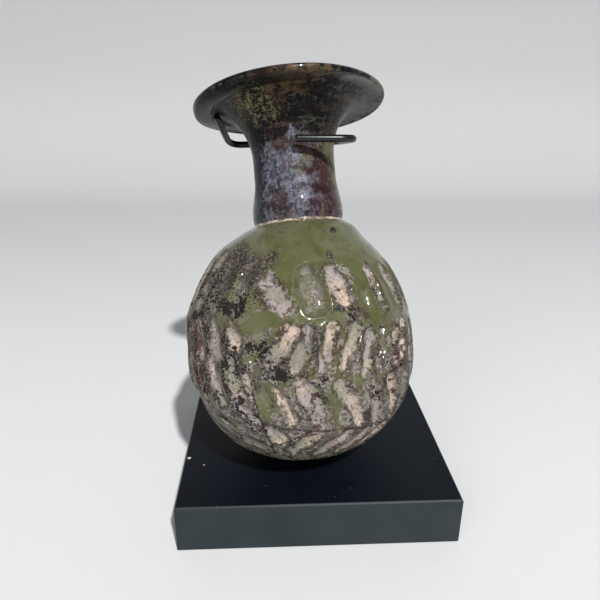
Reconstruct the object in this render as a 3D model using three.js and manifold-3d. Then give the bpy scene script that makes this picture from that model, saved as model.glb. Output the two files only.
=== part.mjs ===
// Mould-blown globular glass bottle, leaning back in its wire cradle on a square block.
// Millimetres, +Z up, the front at -Y. The origin is the centre of the block's underside.
import * as THREE from 'three';
import { mergeVertices } from 'three/addons/utils/BufferGeometryUtils.js';
import Module from 'manifold-3d';

const wasm = await Module();
wasm.setup();

// Square block that the cradle's post is set in, near its back edge
const blockWidth = 76;
const blockHeight = 14.25;
const blockBevel = 0.4;
const socketDepth = 8;
const socketClearance = 0.3;
const postInset = 8.5;

// Round wire of the cradle, and the heavier post that it is brazed to
const wireRadius = 1;
const postRadius = 1.2;
const brazeOverlap = 0.4;
const forkBendRadius = 4.5;
const hookClearance = 2.2;
const sideClearance = 2.8;
const postRise = 0.5;
const wireSides = 8;
const postSides = 16;

// Gap between the glass and what it rests on
const restGap = 0.3;

// How the bottle leans in the cradle, and how far left of the middle the globe stands
const leanBack = THREE.MathUtils.degToRad(21.1);
const leanLeft = THREE.MathUtils.degToRad(4.4);
const globeX = -4;

// Globe, measured along the bottle's own axis up and down from its widest ring
const globeRadius = 31.9;
const globeRise = 37.5;
const globeDepth = 31;
const upperFullness = 2.1;
const lowerFullness = 2.2;
const baseRadius = 11.4;
const baseRound = 0.9;
const basePush = 0.9;
const basePushRadius = 8.5;
const globeWall = 2.4;

// Neck, which sits a little to the right of the globe's axis
const neckShift = 2.3;
const neckFootRadius = 12.5;
const neckBulgeRadius = 13;
const neckBulgeRise = 2.2;
const neckLength = 18.1;
const waistRadius = 11.8;
const neckWall = 2.2;

// Flared mouth: a quarter ellipse from the waist to where the brim lies level, then a brim that
// droops a little to its round lip, folded out and down into a collar on the left front
const flareHeight = 16.2;
const mouthRadius = 27.4;
const brimWidth = 3.1;
const brimDroop = 0.7;
const lipWall = 1.6;
const lipRound = 0.7;
const collarDrop = 2;
const collarWidth = 5.2;
const collarCrest = 0.45;
const collarMiddle = -48;

// Herringbone of slanted oval hollows, from the shoulder down to the base. Each row has its upper
// edge, as a share of the globe's rise or depth, the hollows in its full ring, its turn to the right
// in degrees from its upper to its lower edge, its depth, and the place of one hollow's middle in
// degrees to the right of the front.
const hollowRows = [
  { top: 0.56, count: 26, turn: 8.9, depth: 1.2, middle: 4 },
  { top: 0.233, count: 36, turn: -9.8, depth: 1.3, middle: 0.5 },
  { top: -0.17, count: 29, turn: 11.9, depth: 1.35, middle: 2.5 },
  { top: -0.597, count: 19, turn: -20.8, depth: 1.2, middle: -1 },
];
const hollowsEnd = -0.855;

// The left half of the mould: its rows are higher, and slant the other way
const leftHalfLift = 5;
const leftHalfSlant = -0.8;
const seamAngle = -24;
const seamBlend = 30;
const seamRidge = 0.3;
const seamRidgeWidth = 3;

// Facets round the globe and round everything plainer, and steps along the fork
const globeSides = 144;
const plainSides = 36;
const forkSteps = 44;

// Radius of the globe's smooth outline, or of a skin that lies inside it
function globeOutline(height, inset = 0) {
  const reach = (height > 0 ? globeRise : globeDepth) - inset;
  const fullness = height > 0 ? upperFullness : lowerFullness;
  const rest = Math.max(0, 1 - (Math.abs(height) / reach) ** fullness);
  return (globeRadius - inset) * rest ** (1 / fullness);
}

// How far from the widest ring the outline has drawn in to a radius, above it or below
function outlineReach(radius, reach, fullness, inset = 0) {
  const share = (radius / (globeRadius - inset)) ** fullness;
  return (reach - inset) * (1 - share) ** (1 / fullness);
}

const baseDrop = outlineReach(baseRadius, globeDepth, lowerFullness);
const neckFoot = outlineReach(neckFootRadius, globeRise, upperFullness);
const waistHeight = neckFoot + neckLength;
const boreRadius = waistRadius - neckWall;
const throat = outlineReach(boreRadius, globeRise, upperFullness, globeWall);
const brimRadius = mouthRadius - brimWidth;

// Share of the left half of the mould at an angle: 0 on the right, 1 on the left, blended at both seams
function leftShare(angle) {
  const fromSeam = THREE.MathUtils.euclideanModulo(angle - seamAngle, 360);
  const intoLeft = Math.min(fromSeam - 180, 360 - fromSeam);
  return THREE.MathUtils.clamp(intoLeft / seamBlend + 0.5, 0, 1);
}

// Distance in degrees to the nearer mould seam
function seamDistance(angle) {
  const fromSeam = THREE.MathUtils.euclideanModulo(angle - seamAngle, 180);
  return Math.min(fromSeam, 180 - fromSeam);
}

function heightAt(share) {
  return share * (share > 0 ? globeRise : globeDepth);
}

// Rows of hollows with their edges as heights
const rows = hollowRows.map((row, index) => {
  const below = hollowRows[index + 1]?.top ?? hollowsEnd;
  return { ...row, top: heightAt(row.top), bottom: heightAt(below) };
});

// Turn, in degrees, that the slanted rows have added by the time they come down to a height
function herringboneTurn(height) {
  return rows.reduce((turn, row) => {
    return turn + row.turn * THREE.MathUtils.clamp((row.top - height) / (row.top - row.bottom), 0, 1);
  }, 0);
}

// Depth of the hollows under the globe's outline, at a column's angle and a height
function hollowDepth(column, height) {
  const row = rows.find(({ top, bottom }) => height <= top && height >= bottom);
  if (!row) return 0;
  const middleHeight = (row.top + row.bottom) / 2;
  const along = (height - middleHeight) / (row.top - middleHeight);
  const start = row.middle - herringboneTurn(middleHeight);
  const across = Math.cos(Math.PI * (column - start) * row.count / 360);
  return row.depth * (1 - along ** 4) * across ** 2;
}

// Point in the bottle's own frame, at an angle to the right of the front
function around(angle, radius, height) {
  const turn = THREE.MathUtils.degToRad(angle);
  const halfShoulder = (rows[0].top + neckFoot) / 2;
  const middle = neckShift * THREE.MathUtils.smoothstep(height, halfShoulder, neckFoot);
  return new THREE.Vector3(middle + radius * Math.sin(turn), -radius * Math.cos(turn), height);
}

function ring(sides, pointAt) {
  return Array.from({ length: sides }, (unused, i) => pointAt(i * 360 / sides - 180));
}

// Share of the left half's lift that a height keeps, none at the neck and at the base
function liftShare(height) {
  const above = (neckFoot - height) / (neckFoot - rows[0].top);
  const below = (height + baseDrop) / (rows.at(-1).top + baseDrop);
  return THREE.MathUtils.clamp(Math.min(above, below), 0, 1);
}

// Ring of the globe's outer face: its columns follow the slant of the hollows
function globeRing(sides, height) {
  return ring(sides, (column) => {
    const left = leftShare(column);
    const slant = THREE.MathUtils.lerp(1, leftHalfSlant, left);
    const lifted = height + leftHalfLift * left * liftShare(height);
    const ridge = seamRidge * Math.max(0, 1 - seamDistance(column) / seamRidgeWidth);
    const radius = globeOutline(lifted) - hollowDepth(column, height) + ridge;
    return around(column + slant * herringboneTurn(height), radius, lifted);
  });
}

function plainRing(radius, height) {
  return ring(plainSides, (angle) => around(angle, radius, height));
}

// How strongly the folded collar stands out, full at the left front and none at the right and back
function collarStrength(angle) {
  const turn = THREE.MathUtils.degToRad(angle - collarMiddle);
  return THREE.MathUtils.smoothstep(Math.cos(turn), -0.1, 0.75);
}

// Radius and height on the flare at a share of its quarter turn, on its outer or inner face
function flarePoint(share, wall) {
  const turn = share * Math.PI / 2;
  const width = brimRadius - waistRadius;
  return {
    radius: waistRadius + width - (width + wall) * Math.cos(turn),
    height: waistHeight + (flareHeight + wall) * Math.sin(turn),
  };
}

// Height of the brim's underside, which droops towards the lip
function brimHeight(radius) {
  const outwards = (radius - brimRadius) / (mouthRadius - brimRadius);
  return waistHeight + flareHeight - brimDroop * outwards ** 2;
}

// Drop of the collar below the brim: a sharp fold on its inner side, round towards the lip
function collarBulge(radius) {
  const across = (radius - (mouthRadius - collarWidth)) / collarWidth;
  if (across <= 0) return 0;
  const fromCrest = (across - collarCrest) / (1 - collarCrest);
  return collarDrop * Math.sqrt(Math.max(0, 1 - fromCrest ** 2));
}

function collarRing(radius, height) {
  return ring(plainSides, (angle) => {
    return around(angle, radius, height - collarBulge(radius) * collarStrength(angle));
  });
}

function flareRing(share) {
  const { radius, height } = flarePoint(share, 0);
  return collarRing(radius, height);
}

function innerFlareRing(share) {
  const wall = THREE.MathUtils.lerp(neckWall, lipWall, share);
  const { radius, height } = flarePoint(share, wall);
  return plainRing(radius, height);
}

// Heights of the rings on the relief: the edge between two rows is shared
function reliefHeights() {
  const shares = [0, 0.2, 0.5, 0.8];
  const heights = rows.flatMap(({ top, bottom }) => {
    return shares.map((share) => THREE.MathUtils.lerp(top, bottom, share));
  });
  return [...heights, rows.at(-1).bottom].reverse();
}

// Rings of the neck between its bulge and its waist
function neckRing(share) {
  const radius = THREE.MathUtils.lerp(neckBulgeRadius, waistRadius, Math.sin(share * Math.PI / 2));
  const start = neckFoot + neckBulgeRise;
  return plainRing(radius, THREE.MathUtils.lerp(start, waistHeight, share));
}

// Rings of the outer face, from the base up over the lip
function outerRings() {
  const shoulderShares = [0.3, 0.58, 0.83];
  const flareShares = [0, 0.14, 0.27, 0.4, 0.52, 0.63, 0.73, 0.82, 0.89, 0.905, 0.95, 1];
  const brimMiddle = (brimRadius + mouthRadius - lipRound) / 2;
  const brimRadii = [brimMiddle, mouthRadius - lipRound];
  const lipHeight = brimHeight(mouthRadius);
  return [
    plainRing(basePushRadius, basePush - baseDrop),
    plainRing(baseRadius, -baseDrop),
    plainRing(globeOutline(baseRound - baseDrop), baseRound - baseDrop),
    ...reliefHeights().map((height) => globeRing(globeSides, height)),
    ...shoulderShares.map((share) => {
      return globeRing(plainSides, THREE.MathUtils.lerp(rows[0].top, neckFoot, share));
    }),
    plainRing(neckFootRadius, neckFoot),
    ...[0, 0.25, 0.6].map(neckRing),
    ...flareShares.map(flareRing),
    ...brimRadii.map((radius) => collarRing(radius, brimHeight(radius))),
    plainRing(mouthRadius, lipHeight + lipWall / 2),
    plainRing(mouthRadius - lipRound, lipHeight + lipWall),
  ];
}

// Rings of the inner face, from the brim down to the floor
function innerRings() {
  const lipShares = [1, 0.9, 0.8, 0.68, 0.55, 0.4, 0.22, 0];
  const upperShares = [0.82, 0.6, 0.34, 0.06];
  const lowerShares = [-0.28, -0.59, -0.82];
  const innerHeights = [
    ...upperShares.map((share) => share * (globeRise - globeWall)),
    ...lowerShares.map((share) => share * (globeDepth - globeWall)),
    globeWall - baseDrop,
  ];
  return [
    ...lipShares.map(innerFlareRing),
    plainRing(boreRadius, throat),
    ...innerHeights.map((height) => plainRing(globeOutline(height, globeWall), height)),
  ];
}

// Closed body through a stack of rings, with a middle point at each end. Where two rings have
// different counts, each side of the smaller one fans out to its share of the larger one.
function ringStack(rings, firstMiddle, lastMiddle) {
  const points = [firstMiddle, ...rings.flat(), lastMiddle];
  const starts = rings.reduce((list, r) => [...list, list.at(-1) + r.length], [1]);
  const faces = [];
  rings[0].forEach((unused, i) => {
    faces.push(0, 1 + (i + 1) % rings[0].length, 1 + i);
  });
  for (let level = 0; level + 1 < rings.length; level += 1) {
    joinRings(faces, starts[level], rings[level].length, starts[level + 1], rings[level + 1].length);
  }
  const last = rings.length - 1;
  rings[last].forEach((unused, i) => {
    const next = (i + 1) % rings[last].length;
    faces.push(points.length - 1, starts[last] + i, starts[last] + next);
  });
  const geometry = new THREE.BufferGeometry().setFromPoints(points);
  geometry.setIndex(faces);
  return geometry;
}

function joinRings(faces, lowerStart, lowerCount, upperStart, upperCount) {
  const coarse = Math.min(lowerCount, upperCount);
  const lowerStep = lowerCount / coarse;
  const upperStep = upperCount / coarse;
  const half = Math.floor(Math.max(lowerStep, upperStep) / 2);
  for (let i = 0; i < coarse; i += 1) {
    const lower = (n) => lowerStart + (i * lowerStep + n) % lowerCount;
    const upper = (n) => upperStart + (i * upperStep + n) % upperCount;
    if (lowerStep >= upperStep) {
      for (let n = 0; n < lowerStep; n += 1) {
        faces.push(lower(n), lower(n + 1), upper(n < half ? 0 : 1));
      }
      faces.push(upper(1), upper(0), lower(half));
    } else {
      for (let n = 0; n < upperStep; n += 1) {
        faces.push(upper(n + 1), upper(n), lower(n < half ? 0 : 1));
      }
      faces.push(lower(0), lower(1), upper(half));
    }
  }
}

function bottleGeometry() {
  const underBase = new THREE.Vector3(0, 0, basePush - baseDrop);
  const floor = new THREE.Vector3(0, 0, basePush + globeWall - baseDrop);
  return ringStack([...outerRings(), ...innerRings()], underBase, floor);
}

// Closed geometry to a solid, and back
function toSolid(geometry) {
  const bare = geometry.clone();
  bare.deleteAttribute('normal');
  bare.deleteAttribute('uv');
  const merged = mergeVertices(bare, 1e-5);
  const vertProperties = Float32Array.from(merged.attributes.position.array);
  const triVerts = Uint32Array.from(merged.index.array);
  return new wasm.Manifold(new wasm.Mesh({ numProp: 3, vertProperties, triVerts }));
}

function toGeometry(solid) {
  const { vertProperties, triVerts } = solid.getMesh();
  const geometry = new THREE.BufferGeometry();
  geometry.setAttribute('position', new THREE.BufferAttribute(vertProperties, 3));
  geometry.setIndex(new THREE.BufferAttribute(triVerts, 1));
  return geometry;
}

function upright(radius, bottom, top, x, y) {
  const cylinder = new THREE.CylinderGeometry(radius, radius, top - bottom, postSides);
  cylinder.rotateX(Math.PI / 2);
  cylinder.translate(x, y, (top + bottom) / 2);
  return cylinder;
}

// Path through corners, each corner rounded to the bend radius
function bentPath(corners, bend) {
  const path = new THREE.CurvePath();
  let from = corners[0];
  for (let i = 1; i + 1 < corners.length; i += 1) {
    const before = corners[i - 1].clone().sub(corners[i]).normalize();
    const after = corners[i + 1].clone().sub(corners[i]).normalize();
    const reach = bend / Math.tan(before.angleTo(after) / 2);
    const entry = corners[i].clone().addScaledVector(before, reach);
    const exit = corners[i].clone().addScaledVector(after, reach);
    path.add(new THREE.LineCurve3(from, entry));
    path.add(new THREE.QuadraticBezierCurve3(entry, corners[i], exit));
    from = exit;
  }
  path.add(new THREE.LineCurve3(from, corners.at(-1)));
  return path;
}

function wireAlong(path) {
  const section = new THREE.Shape();
  section.absarc(0, 0, wireRadius, 0, 2 * Math.PI);
  return new THREE.ExtrudeGeometry(section, {
    steps: forkSteps,
    curveSegments: wireSides / 2,
    bevelEnabled: false,
    extrudePath: path,
  });
}

// Bottle's frame: it leans back and to the left, and its lowest point is just above the block
const bottleShape = bottleGeometry();
const leaning = new THREE.Group();
leaning.rotation.set(-leanBack, -leanLeft, 0, 'YXZ');
leaning.position.set(globeX, 0, 0);
leaning.updateMatrixWorld(true);
const lowest = new THREE.Box3().setFromBufferAttribute(
  bottleShape.attributes.position.clone().applyMatrix4(leaning.matrixWorld),
).min.z;
leaning.position.z = blockHeight + restGap - lowest;
leaning.updateMatrixWorld(true);

function glassPoint(angle, radius, height) {
  return leaning.localToWorld(around(angle, radius, height));
}

// Point a distance off the outer face of the flare, square to the glass
function offFlare(angle, share, distance) {
  const { radius, height } = flarePoint(share, -distance);
  return glassPoint(angle, radius, height);
}

// Corners of the fork: the hook's end in front of the neck, its two corners on the right, the
// corner behind on the left, and the prong's end under the left of the mouth
const hookShare = 0.115;
const hookReach = 0.5;
const backShare = 0.45;
const backRunSlope = 0.035;
const prongAngle = -87;
const prongShare = 0.8;
const prongLean = 2.6;
function forkCorners() {
  const front = offFlare(0, hookShare, hookClearance + wireRadius);
  const back = offFlare(180, backShare, restGap + wireRadius);
  const neckRight = glassPoint(90, waistRadius, waistHeight);
  const sideX = neckRight.x + sideClearance + wireRadius;
  const prong = offFlare(prongAngle, prongShare, restGap + wireRadius);
  const backAt = (x) => new THREE.Vector3(x, back.y, back.z + backRunSlope * (x - back.x));
  return [
    new THREE.Vector3(front.x + hookReach, front.y, front.z),
    new THREE.Vector3(sideX, front.y, front.z),
    backAt(sideX),
    backAt(prong.x + prongLean),
    prong,
  ];
}

// The post stands behind the back run, half way along it
const corners = forkCorners();
const brazeJoint = corners[2].clone().lerp(corners[3], 0.5);
const postX = brazeJoint.x;
const postY = brazeJoint.y + wireRadius + postRadius - brazeOverlap;

function cradleGeometry() {
  const path = bentPath(corners, forkBendRadius);
  const fork = toSolid(wireAlong(path));
  const foot = blockHeight - socketDepth + socketClearance;
  const post = toSolid(upright(postRadius, foot, brazeJoint.z + postRise, postX, postY));
  return toGeometry(fork.add(post));
}

// Square block, its front and back the same distance from the origin, with the post's blind socket
function blockGeometry(socketX, socketY) {
  const half = blockWidth / 2 - blockBevel;
  const outline = new THREE.Shape();
  outline.moveTo(-half, -half).lineTo(half, -half).lineTo(half, half).lineTo(-half, half);
  const block = new THREE.ExtrudeGeometry(outline, {
    depth: blockHeight - 2 * blockBevel,
    bevelSize: blockBevel,
    bevelThickness: blockBevel,
    bevelSegments: 1,
  });
  block.translate(0, 0, blockBevel);
  const radius = postRadius + socketClearance;
  const floor = blockHeight - socketDepth;
  const drill = upright(radius, floor, blockHeight + socketDepth, socketX, socketY);
  return toGeometry(toSolid(block).subtract(toSolid(drill)));
}

const weatheredGlass = new THREE.MeshStandardMaterial({ color: 0x6f6f52, roughness: 0.35, metalness: 0 });
const blackWire = new THREE.MeshStandardMaterial({ color: 0x15171a, roughness: 0.4, metalness: 0.3 });
const blackBlock = new THREE.MeshStandardMaterial({ color: 0x1a2028, roughness: 0.45, metalness: 0 });

function named(name, geometry, material) {
  const mesh = new THREE.Mesh(geometry, material);
  mesh.name = name;
  return mesh;
}

// The bottle and its cradle stand together, with the post near the block's back edge
const onBlock = new THREE.Group();
onBlock.position.y = blockWidth / 2 - postInset - postY;
onBlock.add(leaning);
onBlock.add(named('wire_cradle', cradleGeometry(), blackWire));
leaning.add(named('glass_bottle', bottleShape, weatheredGlass));

const group = new THREE.Group();
group.add(onBlock);
group.add(named('display_block', blockGeometry(postX, postY + onBlock.position.y), blackBlock));

export default group;
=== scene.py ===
# Weathered mould-blown glass bottle in a black wire cradle on a black block
import bpy
import bmesh
import math
import numpy as np
from mathutils import Matrix, Vector


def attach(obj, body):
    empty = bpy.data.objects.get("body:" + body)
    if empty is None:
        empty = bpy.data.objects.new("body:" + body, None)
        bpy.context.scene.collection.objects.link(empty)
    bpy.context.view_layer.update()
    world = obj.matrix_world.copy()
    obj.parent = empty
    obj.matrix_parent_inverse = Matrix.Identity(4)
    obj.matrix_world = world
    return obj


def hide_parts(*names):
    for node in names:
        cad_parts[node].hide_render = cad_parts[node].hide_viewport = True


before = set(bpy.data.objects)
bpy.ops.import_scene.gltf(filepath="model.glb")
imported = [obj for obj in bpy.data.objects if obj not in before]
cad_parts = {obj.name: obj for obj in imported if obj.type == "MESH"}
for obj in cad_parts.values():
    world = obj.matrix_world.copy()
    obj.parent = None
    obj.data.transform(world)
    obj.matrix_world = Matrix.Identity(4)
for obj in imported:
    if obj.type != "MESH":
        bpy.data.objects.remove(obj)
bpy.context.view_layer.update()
scene = bpy.context.scene
scene.view_settings.view_transform = "Standard"
print("frame loaded")

mm = 0.001


# Shader helpers: a wrapped socket does maths, and one method adds any other node
class Shade:
    def __init__(self, tree, socket=None):
        self.tree = tree
        self.socket = socket

    def node(self, kind, settings=None, **values):
        made = self.tree.nodes.new(kind)
        for name, value in (settings or {}).items():
            setattr(made, name, value)
        for name, value in values.items():
            key = int(name[1:]) if name[0] == "_" else name.replace("_", " ")
            self.plug(made.inputs[key], value)
        return made

    def plug(self, target, value):
        if isinstance(value, Shade):
            self.tree.links.new(value.socket, target)
        else:
            target.default_value = value

    def wrap(self, socket):
        return Shade(self.tree, socket)

    def math(self, operation, a, b=None):
        values = {"_0": a} if b is None else {"_0": a, "_1": b}
        return self.wrap(self.node("ShaderNodeMath", {"operation": operation}, **values).outputs[0])

    def __add__(self, other):
        return self.math("ADD", self, other)

    def __radd__(self, other):
        return self.math("ADD", other, self)

    def __sub__(self, other):
        return self.math("SUBTRACT", self, other)

    def __rsub__(self, other):
        return self.math("SUBTRACT", other, self)

    def __mul__(self, other):
        return self.math("MULTIPLY", self, other)

    def __rmul__(self, other):
        return self.math("MULTIPLY", other, self)

    def __abs__(self):
        return self.math("ABSOLUTE", self)

    def most(self, other):
        return self.math("MAXIMUM", self, other)

    def least(self, other):
        return self.math("MINIMUM", self, other)

    def step(self, low, high):  # smooth 0 to 1 between two values, either way round
        made = self.node("ShaderNodeMapRange", {"interpolation_type": "SMOOTHSTEP"}, Value=self,
                         From_Min=min(low, high), From_Max=max(low, high),
                         To_Min=0.0 if low < high else 1.0, To_Max=1.0 if low < high else 0.0)
        return self.wrap(made.outputs["Result"])

    def mix(self, factor, a, b):  # two colours
        made = self.node("ShaderNodeMix", {"data_type": "RGBA"}, _0=factor, _6=a, _7=b)
        return self.wrap(made.outputs[2])

    def noise(self, where, scale, detail=3.0, rough=0.55, spread=1.0):
        made = self.node("ShaderNodeTexNoise", None, Vector=where, Scale=scale, Detail=detail,
                         Roughness=rough)
        value = self.wrap(made.outputs["Fac"])
        return value if spread == 1.0 else (value - 0.5) * spread + 0.5

    def cells(self, where, scale):  # distance from the nearest of scattered points
        made = self.node("ShaderNodeTexVoronoi", None, Vector=where, Scale=scale)
        return self.wrap(made.outputs["Distance"])

    def stretch(self, where, factors):
        made = self.node("ShaderNodeVectorMath", {"operation": "MULTIPLY"}, _0=where, _1=factors)
        return self.wrap(made.outputs[0])

    def attribute(self, name, output="Fac"):
        made = self.node("ShaderNodeAttribute", {"attribute_name": name})
        return self.wrap(made.outputs[output])

    def objectPlace(self):
        return self.wrap(self.node("ShaderNodeTexCoord").outputs["Object"])

    def surface(self, **values):
        return self.wrap(self.node("ShaderNodeBsdfPrincipled", None, **values).outputs[0])

    def bump(self, height, strength, distance):
        made = self.node("ShaderNodeBump", None, Height=height, Strength=strength, Distance=distance)
        return self.wrap(made.outputs[0])


def srgb(red, green, blue):  # a colour as a picture shows it, 0 to 255
    shares = [c / 255 for c in (red, green, blue)]
    return (*[((c + 0.055) / 1.055) ** 2.4 if c > 0.04 else c / 12.92 for c in shares], 1.0)


def newMaterial(name):
    material = bpy.data.materials.new(name)
    material.use_nodes = True
    material.node_tree.nodes.clear()
    return material, Shade(material.node_tree)


def finishMaterial(paintedShadeUnderFlare, surface):
    paintedShadeUnderFlare.node("ShaderNodeOutputMaterial", None, Surface=surface)


# Camera: its place, lens and sensor in millimetres, its turns in degrees
camera = {
    "place": (-11.86, -154.81, 116.80),
    "yaw": -2.98,
    "down": 21.16,
    "roll": 0.44,
    "lens": 33.65,
    "sensor": 36.0,
    "nearClip": 10.0,
}


def makeCamera():
    yaw, down, roll = (math.radians(camera[key]) for key in ("yaw", "down", "roll"))
    ahead = Vector((-math.sin(yaw) * math.cos(down), math.cos(yaw) * math.cos(down), -math.sin(down)))
    level = Vector((math.cos(yaw), math.sin(yaw), 0.0))
    raised = level.cross(ahead)
    right = level * math.cos(roll) + raised * math.sin(roll)
    up = raised * math.cos(roll) - level * math.sin(roll)
    data = bpy.data.cameras.new("camera")
    data.lens = camera["lens"]
    data.sensor_width = camera["sensor"]
    data.clip_start = camera["nearClip"] * mm
    made = bpy.data.objects.new("camera", data)
    scene.collection.objects.link(made)
    turned = Matrix((right, up, -ahead)).transposed().to_4x4()
    made.matrix_world = Matrix.Translation(Vector(camera["place"]) * mm) @ turned
    scene.camera = made


makeCamera()
print("camera set")

# Bottle, in its own frame: millimetres up from the globe's widest ring, degrees right of the front
bottle = {
    "place": (-4.0, -9.59, 46.276),
    "leanBack": 21.1,
    "leanLeft": 4.4,
    "globeRadius": 31.9,
    "globeRise": 37.5,
    "globeDepth": 31.0,
    "upperFullness": 2.1,
    "lowerFullness": 2.2,
    "baseDrop": 29.49,
    "basePush": [(3.0, 1.0), (6.0, 0.95), (8.5, 0.8), (10.2, 0.25), (11.3, 0.02)],  # radius, rise
    "baseMiddle": -28.48,
    "wall": 2.4,
    "neckShift": 2.3,
    "neckFoot": 34.9,
    "neckFootRadius": 12.4,
    "neckBulge": 13.0,
    "neckBulgeRise": 2.2,
    "taperFrom": 38.6,
    "taperTo": 47.2,
    "waist": 53.0,
    "waistRadius": 11.8,
    "neckWall": 2.2,
    "throat": 33.5,
    "insideHeights": [31.5, 28, 24, 19, 13, 6, -1, -8, -14, -19, -23, -25.5, -27.09],
    "insideFloor": -26.2,
    "flareHeight": 16.2,
    "brimRadius": 24.3,
    "mouthRadius": 27.4,
    "brimDroop": 0.7,
    "lipWall": 1.6,
    "lipRound": 0.7,
    "collarDrop": 2.0,
    "collarWidth": 5.4,
    "collarMiddle": -48.0,
    "seam": -24.0,
    "seamRise": 0.12,
    "lipRise": 0.2,
    "lipAt": 0.55,
    "lipSpread": 0.6,
    "creaseDepth": 0.3,
    "unevenness": 0.14,
    "globeSink": 0.39,
    "neckSink": 0.15,
    "columns": 408,
    "innerColumns": 102,
    "globeRows": 124,
}

# Hollows that the front shows. Each runs from its upper end to its lower end, as (angle, height), and
# has its half width and depth in millimetres, how full of deposit it is, and how pink at top and foot.
frontHollows = [
    ((-15.9, 18.6), (-6.4, 11.8), 3.0, 0.9, 0.85, 0.0, 0.35),
    ((5.2, 18.6), (7.6, 12.4), 3.9, 1.35, 0.3, 0.1, 0.2),
    ((17.6, 19.0), (22.6, 12.4), 2.7, 1.05, 0.95, 0.35, 1.0),
    ((32.0, 14.2), (33.4, 10.4), 1.7, 0.6, 0.1, 0.2, 0.2),
    ((41.0, 19.6), (43.8, 10.0), 1.8, 1.0, 0.75, 0.6, 0.3),
    ((56.5, 19.6), (60.5, 11.0), 2.3, 1.0, 0.6, 0.3, 0.2),
    ((-17.0, 5.4), (-22.0, 0.4), 2.4, 0.8, 0.25, 0.1, 0.3),
    ((-4.2, 6.2), (-13.0, -0.8), 2.4, 1.05, 0.95, 1.0, 0.15),
    ((3.2, 5.8), (-4.0, -2.8), 2.2, 1.1, 0.8, 0.0, 0.45),
    ((13.4, 6.2), (6.9, -3.2), 1.7, 1.1, 0.95, 1.0, 0.2),
    ((25.0, 6.4), (17.8, -3.0), 1.9, 1.05, 0.95, 0.3, 0.8),
    ((32.4, 4.0), (27.5, -4.3), 1.8, 1.0, 0.8, 0.0, 0.7),
    ((40.2, 4.8), (35.2, -3.8), 1.6, 1.0, 0.4, 0.1, 0.2),
    ((49.8, 4.2), (44.8, -5.6), 1.7, 1.0, 0.75, 0.7, 0.4),
    ((-19.4, -7.4), (-15.8, -12.4), 2.3, 0.8, 0.1, 0.2, 0.2),
    ((-13.3, -7.8), (-7.4, -15.2), 1.7, 1.1, 1.0, 1.0, 0.8),
    ((-1.4, -7.0), (8.2, -16.0), 3.0, 1.3, 0.85, 0.6, 0.0),
    ((15.3, -7.6), (29.2, -17.6), 2.2, 1.1, 0.85, 0.5, 0.9),
    ((30.0, -8.6), (41.6, -18.6), 2.2, 1.1, 0.8, 0.2, 0.5),
    ((-20.5, -17.6), (-15.5, -20.6), 2.3, 0.7, 0.85, 0.1, 0.9),
    ((4.6, -19.6), (-13.2, -24.6), 1.7, 0.9, 0.9, 0.8, 0.3),
    ((21.8, -20.6), (5.6, -25.6), 1.6, 0.9, 0.8, 0.7, 0.2),
    ((38.0, -20.8), (22.5, -25.8), 1.6, 0.9, 0.7, 0.3, 0.4),
    ((-44.4, 8.2), (-42.2, 2.0), 2.6, 1.0, 0.5, 0.0, 0.3),
    ((-32.4, 7.4), (-29.6, 3.2), 2.2, 1.0, 0.8, 0.3, 0.9),
    ((-46.0, -1.0), (-43.0, -10.0), 2.5, 1.1, 0.6, 0.7, 0.0),
    ((-34.8, 0.2), (-31.2, -9.0), 2.5, 1.1, 0.7, 0.0, 0.6),
    ((-26.8, -3.0), (-25.6, -9.2), 1.5, 0.7, 0.7, 0.5, 0.8),
    ((-34.6, -11.2), (-26.0, -14.8), 2.1, 0.8, 0.75, 0.1, 0.1),
    ((-50.0, -14.4), (-31.0, -19.2), 1.5, 0.8, 0.35, 0.2, 0.4),
    ((-62.0, -14.8), (-46.0, -20.4), 1.6, 0.8, 0.5, 0.3, 0.3),
    ((-41.0, -20.8), (-28.5, -24.0), 1.5, 0.8, 0.6, 0.5, 0.2),
    ((-24.5, 23.6), (-31.0, 13.0), 2.6, 0.8, 0.4, 0.1, 0.1),
    ((-38.5, 25.4), (-45.5, 14.0), 2.7, 1.0, 0.5, 0.2, 0.3),
    ((-53.0, 25.4), (-60.0, 14.0), 2.7, 1.0, 0.5, 0.3, 0.4),
    ((-56.2, 9.2), (-54.6, 1.4), 2.5, 1.0, 0.6, 0.2, 0.5),
    ((-58.6, -1.2), (-55.6, -10.4), 2.5, 1.1, 0.7, 0.5, 0.2),
]

# Rows that carry on round the sides and the back: the first hollow's ends and shape as above, then the
# degrees from one to the next, and how many
sideRows = [
    ((72.0, 19.4), (76.5, 10.8), 2.7, 1.05, 14.4, 6),
    ((58.6, 4.8), (53.2, -4.6), 1.8, 1.05, 9.6, 10),
    ((44.6, -8.2), (56.6, -18.4), 2.3, 1.1, 13.2, 8),
    ((55.0, -20.8), (40.0, -25.8), 1.6, 0.9, 17.0, 7),
    ((-68.0, 24.2), (-75.0, 12.4), 2.9, 1.05, -14.8, 9),
    ((-68.4, 8.4), (-67.0, -2.0), 2.6, 1.05, -12.0, 11),
    ((-72.0, -6.4), (-68.6, -15.6), 2.5, 1.1, -12.4, 11),
    ((-79.0, -18.8), (-64.0, -23.4), 1.6, 0.9, -16.5, 8),
]

# The flats of the left side, as (height, millimetres further out)
leftFlats = [(-25.0, 0.0), (-18.3, -0.45), (-11.5, -0.8), (-4.4, 0.6), (3.3, 0.3), (11.0, 1.0),
             (17.0, 0.25), (23.0, 0.0)]

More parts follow.
